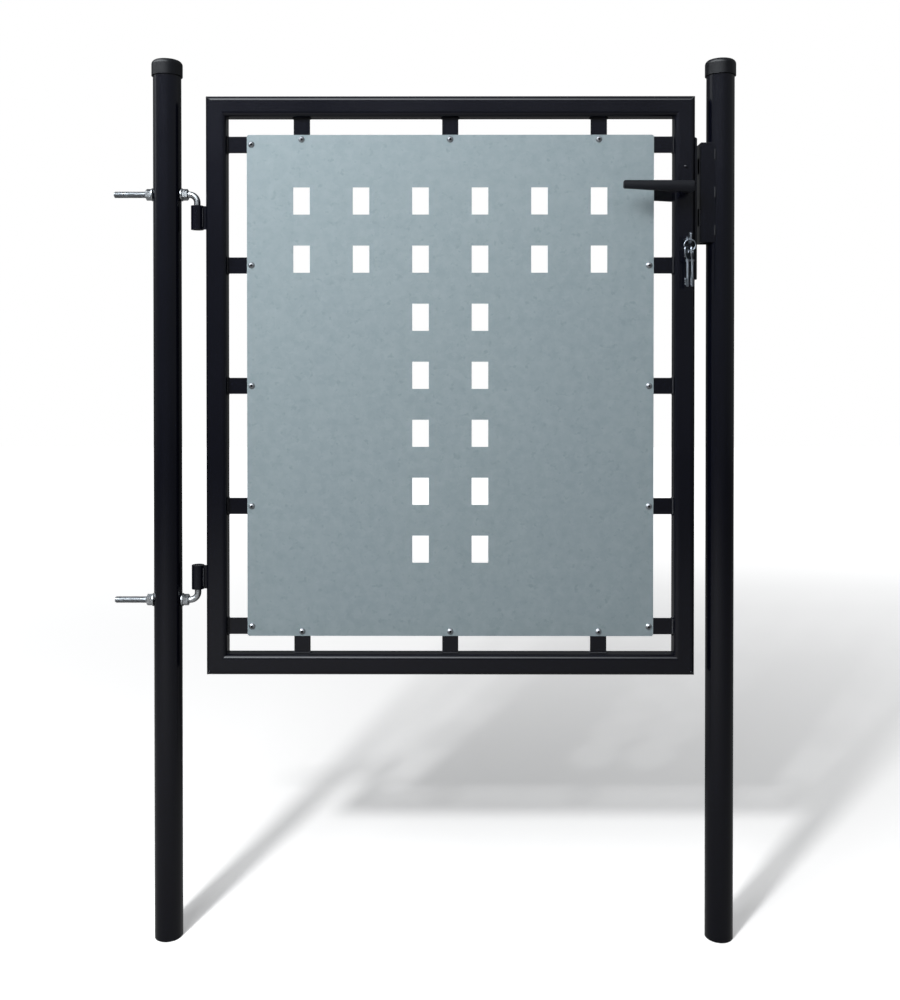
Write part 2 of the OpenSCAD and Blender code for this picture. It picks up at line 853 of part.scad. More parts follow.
// Lever-lock key in the XZ plane, the centre of its bow's hole at the origin, its shank to -Z
module key_blank() {
    collar_z = bow_top - bow_h;
    shoulder_z = bow_top - bow_head_h + bow_r / 2;
    tip_z = bow_top - key_len;
    color(zinc)
        difference() {
            union() {
                translate([0, -key_thick / 2, 0])
                    upright(key_thick)
                        union() {
                            translate([0, bow_top - bow_head_h / 2])
                                round_rect(bow_w, bow_head_h, bow_r);
                            polygon([[-bow_w / 2 + 1, shoulder_z], [bow_w / 2 - 1, shoulder_z],
                                [key_shank_d / 2, collar_z], [-key_shank_d / 2, collar_z]]);
                        }
                translate([0, 0, collar_z + 1 - collar_len])
                    cylinder(h = collar_len, d = collar_d, $fn = 32);
                translate([0, 0, tip_z])
                    cylinder(h = collar_z - tip_z, d = key_shank_d, $fn = 32);
                translate([0, -key_thick / 2, tip_z + bit_end])
                    cube([key_shank_d / 2 + bit_reach, key_thick, bit_len]);
            }
            rotate([90, 0, 0])
                cylinder(h = 4 * key_thick, d = bow_hole_d, center = true, $fn = 32);
            // two ward cuts in the bit
            for (part = [1, 2])
                translate([(key_shank_d + bit_reach) / 2, -key_thick,
                        tip_z + bit_end + part * bit_len / 3 - ward_w / 2])
                    cube([bit_reach, 2 * key_thick, ward_w]);
        }
}

// The key in the lock: its shank runs into the keyhole, its bow stands upright, edge on
module lock_key() {
    translate([handle_x, key_y, key_z])
        rotate([90, 0, 0])
            rotate([0, 0, -90])
                key_blank();
}

// Wire ring through the bow of the key in the lock
module key_ring() {
    color(zinc)
        translate([handle_x, key_y, ring_z])
            rotate([90, 0, 0])
                rotate_extrude($fn = 96)
                    translate([ring_r, 0])
                        circle(d = wire_d, $fn = 24);
}

// A key that hangs on the ring, at an angle from the ring's lowest point
module hanging_key(angle, turn) {
    hang = bow_hole_d / 2 - wire_d / 2 - fit - key_slack;
    translate([handle_x + ring_r * sin(angle), key_y, ring_z - ring_r * cos(angle) - hang])
        rotate([0, 0, turn])
            key_blank();
}

module spare_key_left() {
    hanging_key(-key_spread, 230);
}

module spare_key_right() {
    hanging_key(key_spread, 246);
}

// ---------- drawing ----------

hinge_post();
hinge_post_cap();
latch_post();
latch_post_cap();
upper_hinge_bolt();
lower_hinge_bolt();
hinge_nut(-1, upper_bolt_z);  // upper_outer_nut
hinge_nut(1, upper_bolt_z);  // upper_inner_nut
hinge_nut(-1, lower_bolt_z);  // lower_outer_nut
hinge_nut(1, lower_bolt_z);  // lower_inner_nut
hinge_washer(-1, upper_bolt_z);  // upper_outer_washer
hinge_washer(1, upper_bolt_z);  // upper_inner_washer
hinge_washer(-1, lower_bolt_z);  // lower_outer_washer
hinge_washer(1, lower_bolt_z);  // lower_inner_washer
strike();
hinge_stile();
lock_stile();
top_rail();
bottom_rail();
upper_hinge_barrel();
lower_hinge_barrel();
hinge_side_tabs();
lock_side_tabs();
top_tabs();
bottom_tabs();
panel();
panel_screws();
panel_nuts();
lock_case();
lock_strip();
latch_bolt();
dead_bolt();
front_escutcheon();
rear_escutcheon();
lock_key();
key_ring();
spare_key_left();
spare_key_right();
front_lever();
rear_lever();
spindle();
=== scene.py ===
import math

import bpy
from mathutils import Matrix, Vector


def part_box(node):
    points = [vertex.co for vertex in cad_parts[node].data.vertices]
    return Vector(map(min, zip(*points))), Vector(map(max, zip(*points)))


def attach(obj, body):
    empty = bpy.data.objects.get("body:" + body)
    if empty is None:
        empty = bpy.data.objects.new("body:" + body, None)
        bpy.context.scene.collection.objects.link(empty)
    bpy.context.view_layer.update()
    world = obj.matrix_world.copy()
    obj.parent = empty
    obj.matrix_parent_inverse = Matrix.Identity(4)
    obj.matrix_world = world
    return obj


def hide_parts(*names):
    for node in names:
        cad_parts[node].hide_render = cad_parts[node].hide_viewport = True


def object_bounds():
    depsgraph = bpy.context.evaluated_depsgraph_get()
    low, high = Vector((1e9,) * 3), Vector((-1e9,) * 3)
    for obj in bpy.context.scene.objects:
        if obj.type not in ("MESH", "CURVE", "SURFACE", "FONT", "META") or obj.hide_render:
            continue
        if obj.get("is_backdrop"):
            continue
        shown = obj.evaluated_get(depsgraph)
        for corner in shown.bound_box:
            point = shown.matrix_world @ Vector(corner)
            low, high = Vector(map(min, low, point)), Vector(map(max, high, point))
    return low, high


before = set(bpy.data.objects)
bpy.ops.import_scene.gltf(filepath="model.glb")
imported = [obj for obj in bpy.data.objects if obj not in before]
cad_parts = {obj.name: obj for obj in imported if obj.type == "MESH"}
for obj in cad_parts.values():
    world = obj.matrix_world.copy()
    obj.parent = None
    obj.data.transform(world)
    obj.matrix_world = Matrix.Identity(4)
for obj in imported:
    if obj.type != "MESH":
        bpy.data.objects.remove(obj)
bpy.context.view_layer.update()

# ---------- Camera ----------
# Eye level is a little above the middle of the leaf, square to its face and 2.3 m away.
# A small downward shift brings the posts' feet into the frame without tilting them.
lens_data = bpy.data.cameras.new("camera")
lens_data.sensor_width = 36
lens_data.lens = 37.67  # in mm
lens_data.shift_y = -0.135
camera = bpy.data.objects.new("camera", lens_data)
camera.location = (0.6215, -2.2745, 1.2652)
camera.rotation_euler = (math.radians(89.5), 0, math.radians(0.19))
bpy.context.scene.collection.objects.link(camera)
bpy.context.scene.camera = camera
bpy.context.scene.view_settings.view_transform = "Standard"

# ---------- Studio ----------
# A white room with a wide soft lamp high at the front left. A small lamp behind it lights
# the floor alone, so that the gate's long pale shadow keeps its pattern.
world = bpy.data.worlds.new("white room")
bpy.context.scene.world = world
world.use_nodes = True


def node(tree, kind, column, row, sockets=None, **settings):
    """Adds a node to a tree at a column and row, with its socket values and its settings"""
    made = tree.nodes.new(kind)
    made.location = (220 * column, -200 * row)
    for key, value in settings.items():
        setattr(made, key, value)
    for key, value in (sockets or {}).items():
        made.inputs[key].default_value = value
    return made


up = (0, 0, 1)
behind = (0, 1, 0)
front_left = (-0.9, -1, 0)
window_way = (-0.9, 0.1, 0.3)
tree = world.node_tree
tree.nodes.clear()
direction = node(tree, "ShaderNodeTexCoord", 0, 3)


def zone(row, axis, near, far, low, high):
    """A level that goes from low to high as a direction turns towards an axis"""
    along = node(tree, "ShaderNodeVectorMath", 1, row, operation="DOT_PRODUCT")
    along.inputs[1].default_value = Vector(axis).normalized()
    tree.links.new(direction.outputs["Generated"], along.inputs[0])
    level = node(tree, "ShaderNodeMapRange", 2, row,
                 {"From Min": near, "From Max": far, "To Min": low, "To Max": high},
                 interpolation_type="SMOOTHSTEP")
    tree.links.new(along.outputs["Value"], level.inputs["Value"])
    return level.outputs[0]


# Reflections show dim walls, a bright panel overhead at the front left and a narrow window.
walls = node(tree, "ShaderNodeMath", 3, 2, operation="MULTIPLY")
tree.links.new(zone(2, up, near=-0.12, far=0.25, low=0.22, high=0.36), walls.inputs[0])
tree.links.new(zone(3, behind, near=0.2, far=0.75, low=1, high=0.35), walls.inputs[1])
panel_glow = node(tree, "ShaderNodeMath", 3, 4, operation="MULTIPLY")
tree.links.new(zone(4, up, near=0.36, far=0.44, low=0, high=12), panel_glow.inputs[0])
tree.links.new(zone(5, front_left, near=0.2, far=0.85, low=0, high=1), panel_glow.inputs[1])
window_glow = zone(6, window_way, near=0.97, far=0.99, low=0, high=0.9)
lights = node(tree, "ShaderNodeMath", 4, 4, operation="ADD")
tree.links.new(panel_glow.outputs[0], lights.inputs[0])
tree.links.new(window_glow, lights.inputs[1])
lit_walls = node(tree, "ShaderNodeMath", 4, 3, operation="ADD")
tree.links.new(walls.outputs[0], lit_walls.inputs[0])
tree.links.new(lights.outputs[0], lit_walls.inputs[1])
# Even light fills the room, and the eye sees it plain white.
soft = node(tree, "ShaderNodeBackground", 5, 2, {"Color": (0.96, 0.98, 1, 1)})
tree.links.new(zone(7, behind, near=0, far=0.7, low=0.17, high=0.62), soft.inputs["Strength"])
mirrored = node(tree, "ShaderNodeBackground", 5, 3, {"Color": (0.93, 0.97, 1, 1)})
tree.links.new(lit_walls.outputs[0], mirrored.inputs["Strength"])
white = node(tree, "ShaderNodeBackground", 5, 1, {"Color": (1, 1, 1, 1), "Strength": 1})
path = node(tree, "ShaderNodeLightPath", 5, 0)
seen = node(tree, "ShaderNodeMath", 6, 0, operation="MAXIMUM")
tree.links.new(path.outputs["Is Camera Ray"], seen.inputs[0])
tree.links.new(path.outputs["Is Transmission Ray"], seen.inputs[1])
shine_mix = node(tree, "ShaderNodeMixShader", 6, 2)
tree.links.new(path.outputs["Is Glossy Ray"], shine_mix.inputs[0])
tree.links.new(soft.outputs[0], shine_mix.inputs[1])
tree.links.new(mirrored.outputs[0], shine_mix.inputs[2])
sky_mix = node(tree, "ShaderNodeMixShader", 7, 1)
tree.links.new(seen.outputs[0], sky_mix.inputs[0])
tree.links.new(shine_mix.outputs[0], sky_mix.inputs[1])
tree.links.new(white.outputs[0], sky_mix.inputs[2])
sky_out = node(tree, "ShaderNodeOutputWorld", 8, 1)
tree.links.new(sky_mix.outputs[0], sky_out.inputs[0])

bpy.ops.object.select_all(action="DESELECT")
bpy.ops.mesh.primitive_plane_add(size=24, location=(0.35, 0.2, 0))
floor = bpy.context.object
floor.name = "floor"
floor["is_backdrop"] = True
floor_paint = bpy.data.materials.new("white floor")
floor_paint.use_nodes = True
tree = floor_paint.node_tree
tree.nodes.clear()
# The floor is white to the eye, grey in the light that it throws back, and in between in
# reflections. Its glow to the eye grows with the distance, so that it fades into the room.
thrown_grey = 0.17
seen_grey = 0.75
mirrored_share = 0.16
path = node(tree, "ShaderNodeLightPath", 0, 0)
tint = node(tree, "ShaderNodeMix", 1, 0, data_type="RGBA")
tint.inputs["A"].default_value = (thrown_grey, thrown_grey, thrown_grey, 1)
tint.inputs["B"].default_value = (seen_grey, seen_grey, seen_grey, 1)
whiteness = node(tree, "ShaderNodeMath", 0, 1, {1: mirrored_share}, operation="MULTIPLY_ADD")
tree.links.new(path.outputs["Is Glossy Ray"], whiteness.inputs[0])
tree.links.new(path.outputs["Is Camera Ray"], whiteness.inputs[2])
tree.links.new(whiteness.outputs[0], tint.inputs["Factor"])
diffuse = node(tree, "ShaderNodeBsdfDiffuse", 2, 0)
tree.links.new(tint.outputs["Result"], diffuse.inputs["Color"])
place = node(tree, "ShaderNodeTexCoord", 0, 2)
away = node(tree, "ShaderNodeVectorMath", 1, 2, operation="LENGTH")
tree.links.new(place.outputs["Object"], away.inputs[0])
haze = node(tree, "ShaderNodeMapRange", 2, 2,
            {"From Min": 0.4, "From Max": 6, "To Min": 0.22, "To Max": 0.9})
tree.links.new(away.outputs["Value"], haze.inputs["Value"])
lift = node(tree, "ShaderNodeMath", 3, 2, operation="MULTIPLY")
tree.links.new(path.outputs["Is Camera Ray"], lift.inputs[0])
tree.links.new(haze.outputs[0], lift.inputs[1])
glow = node(tree, "ShaderNodeEmission", 4, 2, {"Color": (1, 1, 1, 1)})
tree.links.new(lift.outputs[0], glow.inputs["Strength"])
both = node(tree, "ShaderNodeAddShader", 5, 0)
tree.links.new(diffuse.outputs[0], both.inputs[0])
tree.links.new(glow.outputs[0], both.inputs[1])
floor_out = node(tree, "ShaderNodeOutputMaterial", 6, 0)
tree.links.new(both.outputs[0], floor_out.inputs[0])
floor.data.materials.append(floor_paint)

wide_lamp = bpy.data.lights.new("wide lamp", "AREA")
wide_lamp.shape = "DISK"
wide_lamp.size = 1.5
wide_lamp.energy = 71
wide = bpy.data.objects.new("wide lamp", wide_lamp)
wide.location = (-0.65, -2.1, 2.8)
wide.rotation_euler = Vector((1.2, 2.1, -1.6)).to_track_quat("-Z", "Y").to_euler()
wide.visible_glossy = False
bpy.context.scene.collection.objects.link(wide)

floor_lamp = bpy.data.lights.new("floor lamp", "POINT")
floor_lamp.energy = 760
floor_lamp.shadow_soft_size = 0.2
small = bpy.data.objects.new("floor lamp", floor_lamp)
small.location = (-0.9, -2.9, 3.2)
bpy.context.scene.collection.objects.link(small)
floor_only = bpy.data.collections.new("floor only")
floor_only.objects.link(floor)
small.light_linking.receiver_collection = floor_only

# ---------- Round posts ----------
# Two lengths of round steel tube with a satin black powder coat. The coat has the fine
# ripple of all powder coats and is a trace duller in places.


def group_tree(name, inputs, outputs):
    """A shader node group with number inputs {name: default} and outputs {name: kind}"""
    group = bpy.data.node_groups.new(name, "ShaderNodeTree")
    for key, value in inputs.items():
        socket = group.interface.new_socket(key, in_out="INPUT", socket_type="NodeSocketFloat")
        socket.default_value = value
    for key, kind in outputs.items():
        group.interface.new_socket(key, in_out="OUTPUT", socket_type="NodeSocket" + kind)
    return group


coat_group = group_tree(
    "Coated surface",
    {"Ripple Scale": 420, "Dull": 0.5, "Gloss": 0.36},
    {"Tone": "Float", "Roughness": "Float", "Height": "Float"})
given = node(coat_group, "NodeGroupInput", 0, 0)
place = node(coat_group, "ShaderNodeTexCoord", 0, 2)
ripple = node(coat_group, "ShaderNodeTexNoise", 1, 0, {"Detail": 1.5, "Roughness": 0.45})
clouds = node(coat_group, "ShaderNodeTexNoise", 1, 2, {"Scale": 5, "Detail": 5, "Roughness": 0.6})
coat_group.links.new(place.outputs["Object"], ripple.inputs["Vector"])
coat_group.links.new(place.outputs["Object"], clouds.inputs["Vector"])
coat_group.links.new(given.outputs["Ripple Scale"], ripple.inputs["Scale"])
gloss_range = node(coat_group, "ShaderNodeMapRange", 2, 1, {"From Min": 0.3, "From Max": 0.7})
coat_group.links.new(clouds.outputs[0], gloss_range.inputs["Value"])
coat_group.links.new(given.outputs["Gloss"], gloss_range.inputs["To Min"])
coat_group.links.new(given.outputs["Dull"], gloss_range.inputs["To Max"])
taken = node(coat_group, "NodeGroupOutput", 3, 0)
coat_group.links.new(clouds.outputs[0], taken.inputs["Tone"])
coat_group.links.new(gloss_range.outputs[0], taken.inputs["Roughness"])
coat_group.links.new(ripple.outputs[0], taken.inputs["Height"])


def coated(name, dark, light, ripple_scale, ripple_depth, gloss, dull, specular):
    """A coated or moulded finish whose colour drifts between two near tones"""
    material = bpy.data.materials.new(name)
    material.use_nodes = True
    tree = material.node_tree
    shader = tree.nodes["Principled BSDF"]
    shader.inputs["Specular IOR Level"].default_value = specular
    effect = node(tree, "ShaderNodeGroup", -3, 0, node_tree=coat_group)
    effect.inputs["Ripple Scale"].default_value = ripple_scale
    effect.inputs["Gloss"].default_value = gloss
    effect.inputs["Dull"].default_value = dull
    tone = node(tree, "ShaderNodeMix", -2, 0, data_type="RGBA")
    tone.inputs["A"].default_value = (*dark, 1)
    tone.inputs["B"].default_value = (*light, 1)
    bump = node(tree, "ShaderNodeBump", -1, 2, {"Strength": 0.6, "Distance": ripple_depth})
    tree.links.new(effect.outputs["Tone"], tone.inputs["Factor"])
    tree.links.new(tone.outputs["Result"], shader.inputs["Base Color"])
    tree.links.new(effect.outputs["Roughness"], shader.inputs["Roughness"])
    tree.links.new(effect.outputs["Height"], bump.inputs["Height"])
    tree.links.new(bump.outputs["Normal"], shader.inputs["Normal"])
    return material


def give(material, *names):
    """Puts a material on CAD nodes"""
    for name in names:
        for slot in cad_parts[name].material_slots:
            slot.material = material


powder_black = coated("satin black powder coat", dark=(0.002, 0.0024, 0.006),
                      light=(0.0035, 0.004, 0.0085), ripple_scale=420, ripple_depth=0.00002,
                      gloss=0.15, dull=0.21, specular=0.3)
give(powder_black, "hinge_post", "latch_post")

# ---------- Post caps ----------
# Caps of moulded black plastic, pushed over the posts' ends to keep the rain out. They are
# duller than the coat and finely grained.
cap_plastic = coated("moulded black plastic", dark=(0.0035, 0.004, 0.0055),
                     light=(0.0055, 0.0062, 0.008), ripple_scale=900, ripple_depth=0.00008,
                     gloss=0.32, dull=0.42, specular=0.24)
give(cap_plastic, "hinge_post_cap", "latch_post_cap")

# ---------- Hinge bolts ----------
# Bent bars of zinc-plated steel. The straight shank has a rolled thread as far as the inner
# nut; the bend and the pin are smooth. Each is made as a threaded bar and a bent bar in one.
plating_group = group_tree(
    "Plated surface",
    {"Grain Scale": 260, "Dull": 0.45, "Bright": 0.24},
    {"Tone": "Float", "Roughness": "Float", "Height": "Float"})
given = node(plating_group, "NodeGroupInput", 0, 0)
place = node(plating_group, "ShaderNodeTexCoord", 0, 2)
grain = node(plating_group, "ShaderNodeTexNoise", 1, 0, {"Detail": 4, "Roughness": 0.65})
stain = node(plating_group, "ShaderNodeTexNoise", 1, 2, {"Scale": 45, "Detail": 3, "Roughness": 0.6})
plating_group.links.new(place.outputs["Object"], grain.inputs["Vector"])
plating_group.links.new(place.outputs["Object"], stain.inputs["Vector"])
plating_group.links.new(given.outputs["Grain Scale"], grain.inputs["Scale"])
shine_range = node(plating_group, "ShaderNodeMapRange", 2, 1, {"From Min": 0.35, "From Max": 0.68})
plating_group.links.new(stain.outputs[0], shine_range.inputs["Value"])
plating_group.links.new(given.outputs["Bright"], shine_range.inputs["To Min"])
plating_group.links.new(given.outputs["Dull"], shine_range.inputs["To Max"])
taken = node(plating_group, "NodeGroupOutput", 3, 0)
plating_group.links.new(stain.outputs[0], taken.inputs["Tone"])
plating_group.links.new(shine_range.outputs[0], taken.inputs["Roughness"])
plating_group.links.new(grain.outputs[0], taken.inputs["Height"])


def plated(name, dark, light, grain_depth, bright, dull):
    """A plated metal finish with a fine grain and faint stains"""
    material = bpy.data.materials.new(name)
    material.use_nodes = True
    tree = material.node_tree
    shader = tree.nodes["Principled BSDF"]
    shader.inputs["Metallic"].default_value = 1
    effect = node(tree, "ShaderNodeGroup", -3, 0, node_tree=plating_group)
    effect.inputs["Bright"].default_value = bright
    effect.inputs["Dull"].default_value = dull
    tone = node(tree, "ShaderNodeMix", -2, 0, data_type="RGBA")
    tone.inputs["A"].default_value = (*light, 1)
    tone.inputs["B"].default_value = (*dark, 1)
    bump = node(tree, "ShaderNodeBump", -1, 2, {"Strength": 0.5, "Distance": grain_depth})
    tree.links.new(effect.outputs["Tone"], tone.inputs["Factor"])
    tree.links.new(tone.outputs["Result"], shader.inputs["Base Color"])
    tree.links.new(effect.outputs["Roughness"], shader.inputs["Roughness"])
    tree.links.new(effect.outputs["Height"], bump.inputs["Height"])
    tree.links.new(bump.outputs["Normal"], shader.inputs["Normal"])
    return material


zinc = plated("bright zinc plating", dark=(0.28, 0.295, 0.31), light=(0.6, 0.62, 0.64),
              grain_depth=0.00005, bright=0.22, dull=0.42)

bolt_low, bolt_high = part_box("upper_hinge_bolt")
bolt_r = (bolt_high.y - bolt_low.y) / 2
swing_x = bolt_high.x - bolt_r
bend_r = 0.017
thread_pitch = 0.002
thread_depth = 0.0011
thread_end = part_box("upper_inner_nut")[1].x + 0.0025
thread_crest = 0.12  # of the pitch
thread_flank = 0.44
lap = 0.0015  # of the lengths that make up a bolt
tip_len = 0.002
tip_inset = 0.0012
tip_pitch = 0.001
tip_depth = 0.0002
point_len = 0.002
point_taper = 0.72


def edit(piece):
    """Goes into edit mode on one piece, with nothing selected"""
    bpy.ops.object.select_all(action="DESELECT")
    bpy.context.view_layer.objects.active = piece
    piece.select_set(True)
    bpy.ops.object.mode_set(mode="EDIT")
    bpy.ops.mesh.select_all(action="DESELECT")


def leave(piece, smooth_angle=35):
    """Makes the whole mesh face outwards, leaves edit mode and smooths the shallow edges"""
    bpy.ops.mesh.select_all(action="SELECT")
    bpy.ops.mesh.normals_make_consistent(inside=False)
    bpy.ops.object.mode_set(mode="OBJECT")
    bpy.ops.object.shade_smooth_by_angle(angle=math.radians(smooth_angle))
    bpy.ops.object.transform_apply(location=True, rotation=True, scale=True)


def apply_modifier(piece, kind, **settings):
    """Adds a modifier to a piece and applies it at once"""
    modifier = piece.modifiers.new(kind.lower(), kind)
    for key, value in settings.items():
        setattr(modifier, key, value)
    bpy.context.view_layer.objects.active = piece
    bpy.ops.object.modifier_apply(modifier=modifier.name)


def thread(name, x_start, length, z, radius, pitch, depth):
    """A threaded bar along +X, wound from one pitch of its profile"""
    bpy.ops.object.select_all(action="DESELECT")
    bpy.ops.mesh.primitive_plane_add(size=0.001)
    bar = bpy.context.object
    bar.name = name
    bpy.ops.object.mode_set(mode="EDIT")
    bpy.ops.mesh.merge(type="CENTER")
    bpy.ops.transform.translate(value=(radius - depth, 0, 0))
    for out, along in ((depth, thread_flank), (0, thread_crest), (-depth, thread_flank)):
        bpy.ops.mesh.extrude_vertices_move(TRANSFORM_OT_translate={"value": (out, 0, along * pitch)})
    bpy.ops.object.mode_set(mode="OBJECT")
    apply_modifier(bar, "SCREW", angle=math.tau, screw_offset=pitch, iterations=int(length / pitch),
                   steps=20, render_steps=20, use_merge_vertices=True, merge_threshold=0.00001)
    bar.rotation_euler = (0, math.radians(90), 0)
    bar.location = (x_start, 0, z)
    edit(bar)
    bpy.ops.mesh.select_all(action="SELECT")
    bpy.ops.mesh.fill_holes(sides=0)
    leave(bar, 30)
    return bar


def bent_bar(name, x_start, z, turn):
    """The smooth end of a hinge bolt: a stub, a quarter bend and a pin; turn is -1 down, 1 up"""
    pin_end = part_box("upper_hinge_bolt")[0].z if turn < 0 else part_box("lower_hinge_bolt")[1].z
    bpy.ops.object.select_all(action="DESELECT")
    bpy.ops.mesh.primitive_circle_add(vertices=40, radius=bolt_r, fill_type="NGON",
                                      location=(x_start, 0, z), rotation=(0, math.radians(90), 0))
    bar = bpy.context.object
    bar.name = name
    bpy.ops.object.transform_apply(location=True, rotation=True, scale=True)
    bpy.ops.object.mode_set(mode="EDIT")
    bpy.ops.mesh.select_all(action="SELECT")
    stub = swing_x - bend_r - x_start
    bpy.ops.mesh.extrude_region_move(TRANSFORM_OT_translate={"value": (stub, 0, 0)})
    bpy.ops.mesh.spin(steps=14, angle=math.radians(90 * turn), axis=(0, 1, 0),
                      center=(swing_x - bend_r, 0, z + turn * bend_r))
    pin = abs(pin_end - z) - bend_r - point_len
    bpy.ops.mesh.extrude_region_move(TRANSFORM_OT_translate={"value": (0, 0, turn * pin)})
    bpy.ops.mesh.extrude_region_move(TRANSFORM_OT_translate={"value": (0, 0, turn * point_len)})
    bpy.ops.transform.resize(value=(point_taper, point_taper, 1), center_override=(swing_x, 0, pin_end))
    leave(bar, 40)
    return bar


def joined(name, pieces):
    """Joins pieces into one object of that name"""
    bpy.ops.object.select_all(action="DESELECT")
    for piece in pieces:
        piece.select_set(True)
    bpy.context.view_layer.objects.active = pieces[0]
    bpy.ops.object.join()
    pieces[0].name = name
    pieces[0].data.name = name
    return pieces[0]


def dress(piece, body, slot, material, *stands_for):
    """Gives a finished piece a material if it has none and its body, and hides the CAD nodes it stands
    for; the slot is not used
    """
    if not piece.data.materials:
        piece.data.materials.append(material)
    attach(piece, body)
    if stands_for:
        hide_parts(*stands_for)


for level, turn in (("upper", -1), ("lower", 1)):
    low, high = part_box(level + "_hinge_bolt")
    z = high.z - bolt_r if turn < 0 else low.z + bolt_r
    tip = thread("tip", low.x, tip_len, z, bolt_r - tip_inset, tip_pitch, tip_depth)
    bar = thread("bar", low.x + lap, thread_end - low.x - lap, z, bolt_r, thread_pitch, thread_depth)
    bend = bent_bar("bend", thread_end - lap, z, turn)
    bolt = joined(level + "_bent_bolt", [bar, bend, tip])
    dress(bolt, "posts", "zinc_plated_steel", zinc, level + "_hinge_bolt")

# ---------- Hinge nuts and washers ----------
# Stock hexagon nuts and flat washers of zinc-plated steel. One of each is clamped on either
# side of the hinge post, so that the bolts can be set in or out.
merge_reach = 0.000005
flat_angle = math.radians(1)
sharp_angle = math.radians(32)
crease_angle = math.radians(35)


def softened(cad_name, piece_name, width, segments=2):
    """A merged copy of a CAD node's solid with its sharp edges eased, to stand for it"""
    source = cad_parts[cad_name]
    piece = bpy.data.objects.new(piece_name, source.data.copy())
    bpy.context.scene.collection.objects.link(piece)
    edit(piece)
    bpy.ops.mesh.select_all(action="SELECT")
    bpy.ops.mesh.remove_doubles(threshold=merge_reach)
    bpy.ops.mesh.dissolve_limited(angle_limit=flat_angle)
    bpy.ops.object.mode_set(mode="OBJECT")
    bpy.ops.mesh.customdata_custom_splitnormals_clear()
    apply_modifier(piece, "BEVEL", width=width, segments=segments, limit_method="ANGLE",
                   angle_limit=sharp_angle)
    bpy.ops.object.shade_smooth_by_angle(angle=crease_angle)
    apply_modifier(piece, "WEIGHTED_NORMAL", keep_sharp=True)
    piece.data.materials.clear()
    return piece


for level in ("upper", "lower"):
    for side in ("outer", "inner"):
        for kind, ease in (("nut", 0.0004), ("washer", 0.0005)):
            name = f"{level}_{side}_{kind}"
            piece = softened(name, f"{level}_{side}_hinge_{kind}", ease)
            dress(piece, "posts", "zinc_plated_steel", zinc, name)

# ---------- Hinge barrels ----------
# Short thick-walled tubes on the bolts' pins, each welded to a flat lug and the lug to the
# stile, then powder coated with the leaf. The welds are rows of small overlapping scales.
bead_step = 0.0022
bead_start = 0.7  # of the radius
bead_swell = 0.12
barrel_seam_y = 0.004
barrel_seam_inset = 0.006
barrel_bead_r = 0.0026


def weld_bead(start, end, radius):
    """A rippled weld bead from one point to another: each scale widens, narrows and widens"""
    start, end = Vector(start), Vector(end)
    run = end - start
    rings = max(2, round(run.length / bead_step))
    bpy.ops.object.select_all(action="DESELECT")
    bpy.ops.mesh.primitive_circle_add(vertices=10, radius=radius * bead_start, fill_type="NGON")
    bead = bpy.context.object
    bpy.ops.object.mode_set(mode="EDIT")
    bpy.ops.mesh.select_all(action="SELECT")
    for ring in range(rings):
        swell = 1 + bead_swell * math.sin(3.7 * ring)
        for part, size in ((0.3, 1.42 * swell), (0.4, 1.0), (0.3, 0.7 / swell)):
            step = run.length / rings * part
            bpy.ops.mesh.extrude_region_move(TRANSFORM_OT_translate={"value": (0, 0, step)})
            bpy.ops.transform.resize(value=(size, size, 1))
    leave(bead, 60)
    turn = run.to_track_quat("Z", "Y").to_matrix().to_4x4()
    bead.data.transform(Matrix.Translation(start) @ turn)
    return bead


stile_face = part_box("hinge_stile")[0].x
for level in ("upper", "lower"):
    name = level + "_hinge_barrel"
    low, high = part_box(name)
    dress(softened(name, level + "_barrel", 0.0008), "leaf", "black_powder_coat", powder_black, name)
    barrel_r = (high.y - low.y) / 2
    seam_x = swing_x + math.sqrt(barrel_r ** 2 - barrel_seam_y ** 2)
    beads = []
    for side in (-1, 1):
        for x in (stile_face, seam_x):
            foot = (x, side * barrel_seam_y, low.z + barrel_seam_inset)
            head = (x, side * barrel_seam_y, high.z - barrel_seam_inset)
            beads.append(weld_bead(foot, head, barrel_bead_r))
    dress(joined(level + "_hinge_welds", beads), "leaf", "black_powder_coat", powder_black)

# ---------- Leaf frame ----------
# Square steel tube, mitred and welded at its corners, then powder coated in one piece with
# its tabs. The welds are ground flush on the flats and left low on the rounded edges.
give(powder_black, "hinge_stile", "lock_stile", "top_rail", "bottom_rail")
leaf_low, leaf_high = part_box("hinge_stile")[0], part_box("lock_stile")[1]
mitre_bead_r = 0.0021
# Each mitre's bead rounds the tube's edge; its ends are (inset along the mitre, out from Y = 0).
seam_ends = (Vector((0.0022, 0.0176)), Vector((0.0095, 0.0215)))
beads = []
for x, inward_x in ((leaf_low.x, 1), (leaf_high.x, -1)):
    for z, inward_z in ((leaf_low.z, 1), (leaf_high.z, -1)):
        for side in (-1, 1):
            ends = []
            for inset, y in seam_ends:
                ends.append((x + inward_x * inset, side * y, z + inward_z * inset))
            beads.append(weld_bead(*ends, mitre_bead_r))
dress(joined("mitre_welds", beads), "leaf", "black_powder_coat", powder_black)

# ---------- Tabs ----------
# Short lengths of flat steel bar, welded by hand to the inside of the frame all round and
# coated with it. They carry the sheet.
tab_width = 0.035
tab_match = 0.00005
tab_end_inset = 0.001
tab_side_bead_r = 0.0028
tab_end_bead_y = 0.003
tab_end_bead_r = 0.003
stile_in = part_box("hinge_stile")[1].x
lock_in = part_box("lock_stile")[0].x
top_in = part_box("top_rail")[0].z
bottom_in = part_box("bottom_rail")[1].z
tab_half_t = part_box("top_tabs")[1].y


